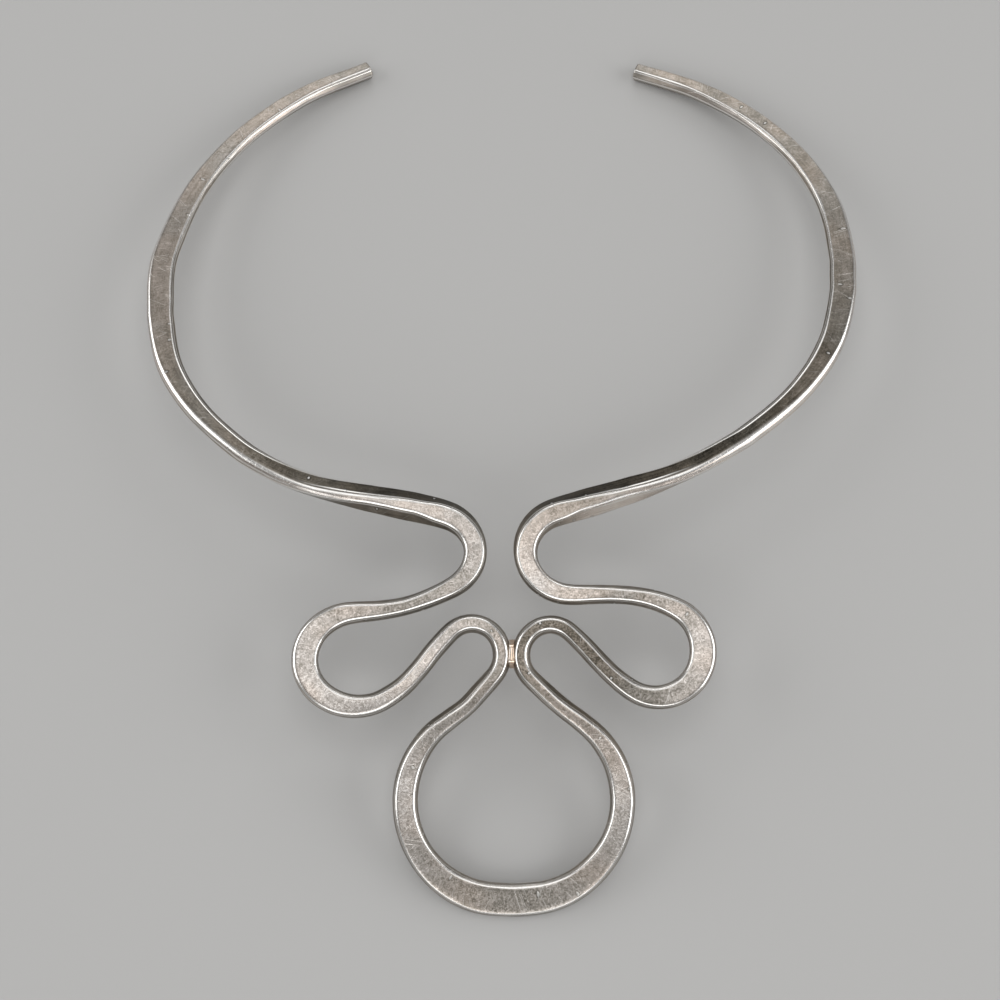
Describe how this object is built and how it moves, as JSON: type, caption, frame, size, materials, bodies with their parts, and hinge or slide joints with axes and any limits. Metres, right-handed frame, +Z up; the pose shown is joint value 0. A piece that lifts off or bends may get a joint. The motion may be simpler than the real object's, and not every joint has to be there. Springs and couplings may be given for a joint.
{
  "type": "silver torc",
  "caption": "Forged silver neck ring open at the back, its single bar bent at the front into side lobes and a large round pendant loop.",
  "frame": {"origin": "centre of the bounding box at the underside, on the surface that the torc lies on", "axes": "+Z up out of the worn face, +Y from the pendant loop towards the open back of the ring, +X to the right of someone who looks along +Y"},
  "size_m": [0.1342, 0.17, 0.0149],
  "materials": {
    "silver": "hand-forged silver, polished and aged, with fine scratches and a grey-brown film"
  },
  "bodies": {
    "root": {"torc": "silver"}
  },
  "joints": []
}
